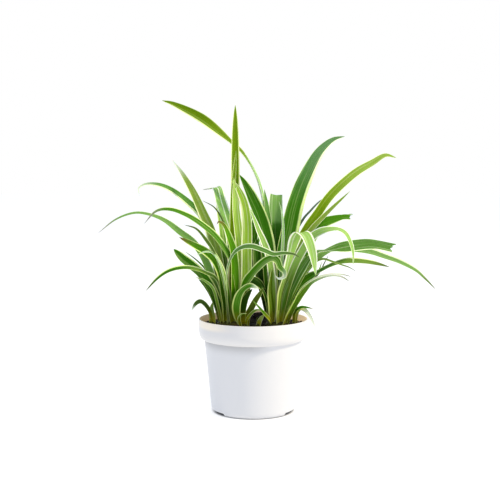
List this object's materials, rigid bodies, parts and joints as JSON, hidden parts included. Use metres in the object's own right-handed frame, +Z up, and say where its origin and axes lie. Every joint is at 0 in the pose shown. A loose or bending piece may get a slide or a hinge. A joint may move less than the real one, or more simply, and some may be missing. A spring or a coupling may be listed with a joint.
{
  "type": "potted spider plant",
  "caption": "Variegated spider plant in a plain white nursery pot: two crowns of long arching leaves with young plants at their feet, standing in soil.",
  "frame": {"origin": "centre of the pot's underside, on the plane it stands on", "axes": "+Z up along the pot's axis, +X to the right of the front view, towards the longest leaves, +Y to the back; the front, seen in the picture, is -Y"},
  "size_m": [0.3713, 0.1974, 0.3446],
  "materials": {
    "pot": "smooth moulded plastic with a soft sheen",
    "soil": null,
    "leaf": "smooth leaf, green with cream margins; matte plastic stands for its look"
  },
  "bodies": {
    "root": {"pot": "pot", "soil": "soil", "crown_left": "leaf", "crown_right": "leaf", "plantlet_left": "leaf", "plantlet_front": "leaf", "plantlet_right": "leaf", "shoot_middle": "leaf"}
  },
  "joints": []
}
